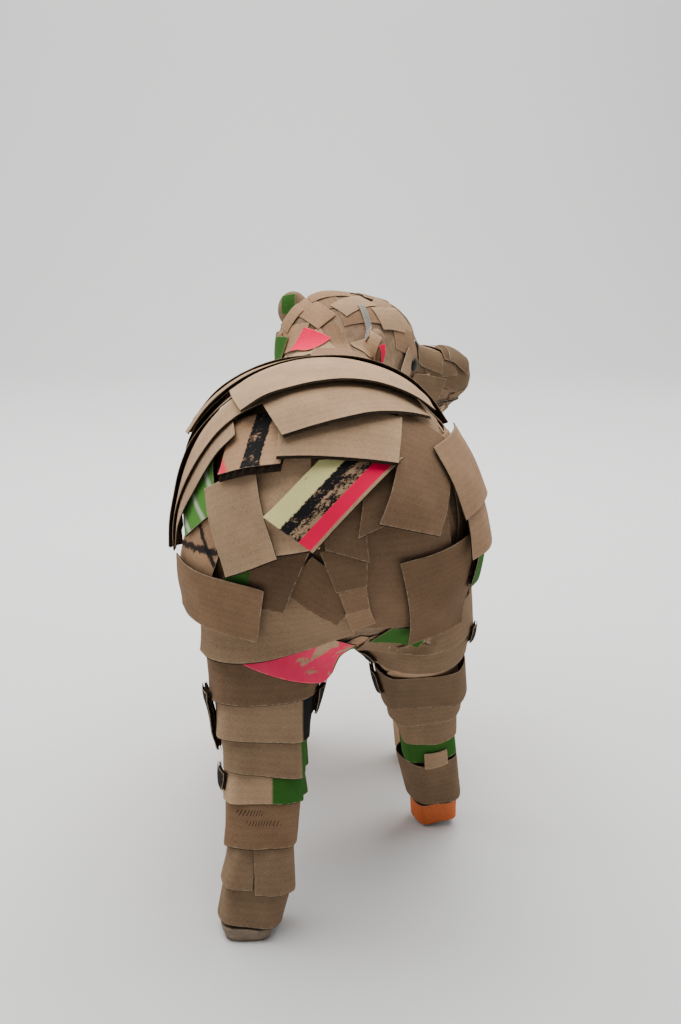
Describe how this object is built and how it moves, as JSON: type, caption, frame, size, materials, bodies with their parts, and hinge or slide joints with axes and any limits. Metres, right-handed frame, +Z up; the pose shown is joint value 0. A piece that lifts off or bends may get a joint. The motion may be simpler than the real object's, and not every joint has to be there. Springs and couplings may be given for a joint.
{
  "type": "papier-mache bear figure",
  "caption": "Walking bear figure with its head turned to the right: a papier-mache form clad in overlapping scraps of corrugated board, standing on four feet.",
  "frame": {"origin": "on the floor, under the middle of the figure's bounding box", "axes": "+Z up, +Y the way the bear walks (from rump to shoulders), +X the bear's right side"},
  "size_m": [0.2704, 0.5158, 0.4121],
  "materials": {
    "papier_mache": "matt, dried paper pulp",
    "kraft_board": "matt brown kraft liner",
    "dark_board": "matt darker brown kraft liner",
    "green_board": "matt printed green",
    "pink_board": "matt fluorescent pink print",
    "orange_board": "matt printed orange",
    "striped_board": "matt printed pale yellow, black and pink stripes"
  },
  "bodies": {
    "root": {"papier_mache_form": "papier_mache", "left_hind_sole": "dark_board", "right_hind_sole": "dark_board", "left_fore_sole": "dark_board", "right_fore_sole": "dark_board", "left_hind_band_1": "kraft_board", "left_hind_band_2_outer": "kraft_board", "left_hind_band_2_inner": "kraft_board", "left_hind_band_3": "kraft_board", "left_hind_band_4": "kraft_board", "left_hind_band_5": "kraft_board", "left_hind_band_6": "kraft_board", "left_hind_band_7": "kraft_board", "right_hind_band_1": "orange_board", "right_hind_band_2": "kraft_board", "right_hind_band_3": "green_board", "right_hind_band_4": "kraft_board", "right_hind_band_5": "kraft_board", "right_hind_band_6": "kraft_board", "left_fore_band_1": "kraft_board", "left_fore_band_2": "kraft_board", "left_fore_band_3": "kraft_board", "right_fore_band_1": "kraft_board", "right_fore_band_2": "kraft_board", "right_fore_band_3": "kraft_board", "thigh_pink": "pink_board", "seat_green": "green_board", "thigh_plate": "kraft_board", "seat_right": "kraft_board", "seat_centre": "dark_board", "seat_dark": "dark_board", "flank_marked": "dark_board", "haunch_left": "kraft_board", "tail_tip": "kraft_board", "tail_low": "kraft_board", "tail_middle": "kraft_board", "tail_top": "kraft_board", "rump_shaded": "dark_board", "haunch_right": "kraft_board", "rump_right": "kraft_board", "rump_middle": "kraft_board", "flank_green": "green_board", "rump_plain": "kraft_board", "rump_striped": "striped_board", "rump_brushed": "dark_board", "back_band_1": "kraft_board", "flank_right_green": "green_board", "flank_right_low": "kraft_board", "flank_right_high": "kraft_board", "back_band_2": "kraft_board", "flank_left_1": "kraft_board", "flank_left_2": "kraft_board", "flank_left_3": "kraft_board", "flank_left_4": "kraft_board", "shoulder_left": "kraft_board", "side_right": "kraft_board", "shoulder_right": "kraft_board", "back_band_3": "kraft_board", "back_band_4": "kraft_board", "back_band_5": "kraft_board"}
  },
  "joints": []
}
